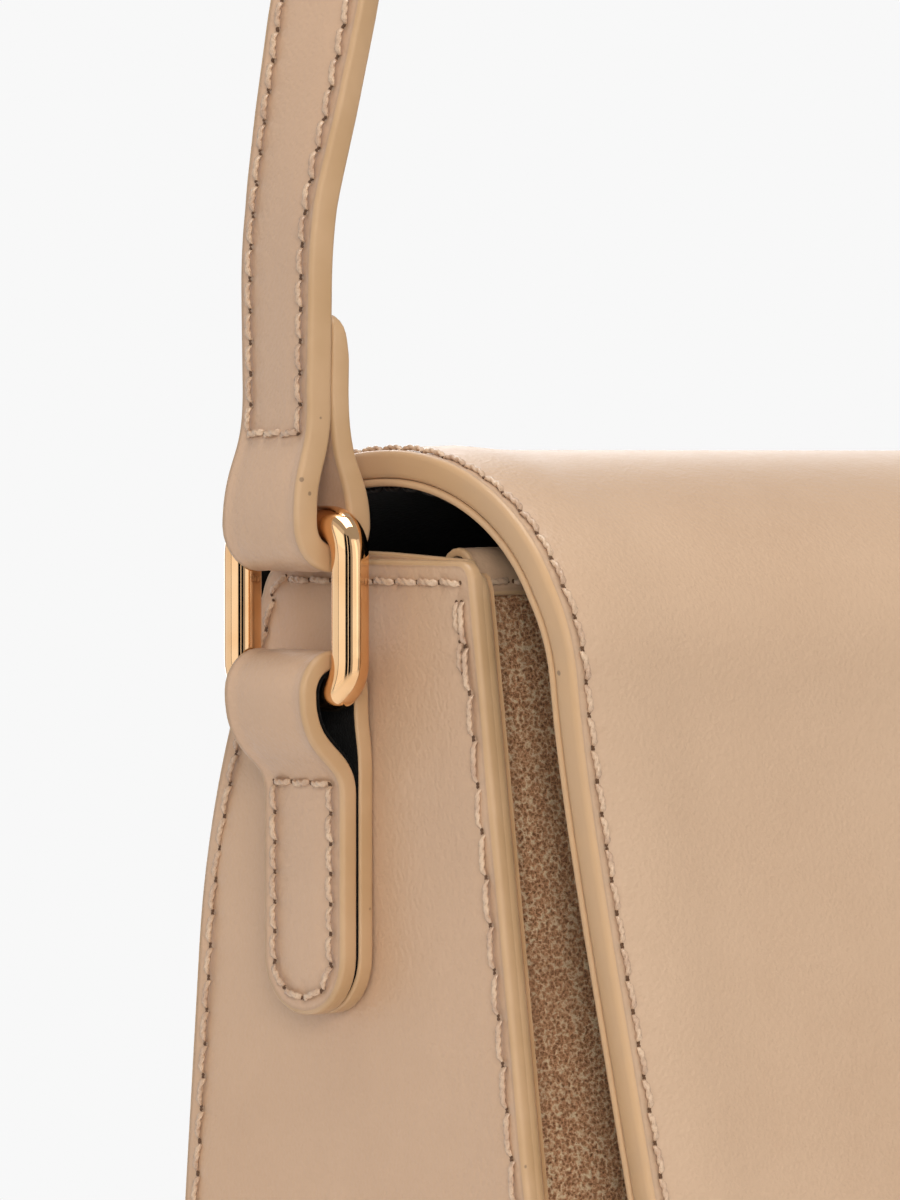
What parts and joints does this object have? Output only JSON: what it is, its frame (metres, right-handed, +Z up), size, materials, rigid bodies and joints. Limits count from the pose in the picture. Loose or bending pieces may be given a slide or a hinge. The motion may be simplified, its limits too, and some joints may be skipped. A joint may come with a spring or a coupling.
{
  "type": "baguette bag",
  "caption": "Small flap-over shoulder bag with a tapering box body, flat end gussets, polished side rings and an arched leather strap.",
  "frame": {"origin": "middle of the base's underside, under the middle of the bag's length", "axes": "+X along the bag towards its right end seen from the front, -Y towards the front under the flap, +Z up towards the strap"},
  "size_m": [0.283, 0.0839, 0.3786],
  "materials": {
    "leather": "smooth tan box leather with painted edges",
    "suede": "taupe split suede, short nap",
    "board": "matt stiffening board",
    "lining": "dark woven lining",
    "felt": "black felt",
    "gold_plate": "polished pale gold plate",
    "magnet": "sintered ferrite",
    "washer_steel": "stamped plated steel"
  },
  "bodies": {
    "body": {"front_panel": "suede", "front_board": "board", "front_lining": "lining", "front_binding": "leather", "back_panel": "leather", "back_board": "board", "back_lining": "lining", "slip_pocket": "lining", "base_panel": "leather", "base_board": "board", "base_lining": "lining", "gusset_left": "leather", "gusset_right": "leather", "gusset_lining_left": "lining", "gusset_lining_right": "lining", "gusset_facing_left": "leather", "gusset_facing_right": "leather", "tab_left": "leather", "tab_right": "leather", "tab_felt_left": "felt", "tab_felt_right": "felt", "snap_socket": "gold_plate", "snap_magnet": "magnet", "snap_socket_washer": "washer_steel"},
    "flap": {"flap_leather": "leather", "flap_board": "board", "flap_lining": "leather", "snap_stud": "gold_plate", "snap_stud_washer": "washer_steel"},
    "ring_left": {"ring_left": "gold_plate"},
    "ring_right": {"ring_right": "gold_plate"},
    "strap": {"strap_leather": "leather", "strap_filler": "board", "strap_lining": "leather"}
  },
  "joints": [
    {"name": "flap_fold", "type": "hinge", "parent": "body", "child": "flap", "pos_m": [0, 0.0196, 0.118], "axis": [-1, 0, 0], "range_deg": [0, 105]},
    {"name": "ring_left_swing", "type": "hinge", "parent": "body", "child": "ring_left", "pos_m": [-0.1356, 0.0038, 0.1188], "axis": [0, 1, 0], "range_deg": [-3, 3]},
    {"name": "strap_sway", "type": "hinge", "parent": "ring_left", "child": "strap", "pos_m": [-0.1356, 0.0038, 0.138], "axis": [0, 1, 0], "range_deg": [-3, 3]},
    {"name": "ring_right_swing", "type": "hinge", "parent": "body", "child": "ring_right", "pos_m": [0.1356, 0.0038, 0.1188], "axis": [0, 1, 0], "range_deg": [-3, 3]}
  ],
  "couplings": [
    {"joint": "strap_sway", "follows": "ring_left_swing", "ratio": -1},
    {"joint": "ring_right_swing", "follows": "ring_left_swing", "ratio": 1}
  ]
}
